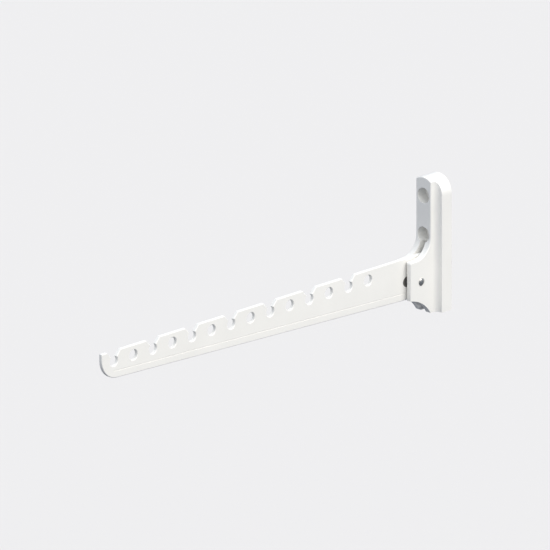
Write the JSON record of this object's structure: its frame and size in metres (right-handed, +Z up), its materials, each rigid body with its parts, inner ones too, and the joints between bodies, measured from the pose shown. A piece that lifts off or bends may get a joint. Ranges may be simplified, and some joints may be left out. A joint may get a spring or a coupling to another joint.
{
  "type": "wall mounted fold down drying rack",
  "caption": "Wall bracket with a slotted nose that holds one level hanger arm, notched and drilled along its top edge, which folds down flat against the wall on a riveted pin.",
  "frame": {"origin": "on the wall face, in the middle of the bracket's width, level with the fold pin", "axes": "+Z up, +Y into the wall, +X along the fold pin; the arm stands out along -Y"},
  "size_m": [0.026, 0.3465, 0.1018],
  "materials": {
    "bracket_coat": "aluminium profile with a satin white powder coat",
    "arm_coat": "aluminium bar with a satin white powder coat",
    "liner_plastic": "black moulded plastic",
    "pin_steel": "bright steel rivet",
    "washer_nylon": "natural nylon"
  },
  "bodies": {
    "bracket": {"wall_bracket": "bracket_coat", "fold_pin": "pin_steel", "left_washer": "washer_nylon", "right_washer": "washer_nylon"},
    "arm": {"hanger_arm": "arm_coat", "slide_liner": "liner_plastic"}
  },
  "joints": [
    {"name": "arm_fold", "type": "hinge", "parent": "bracket", "child": "arm", "pos_m": [0, -0.0255, 0], "axis": [1, 0, 0], "range_deg": [0, 90]}
  ]
}
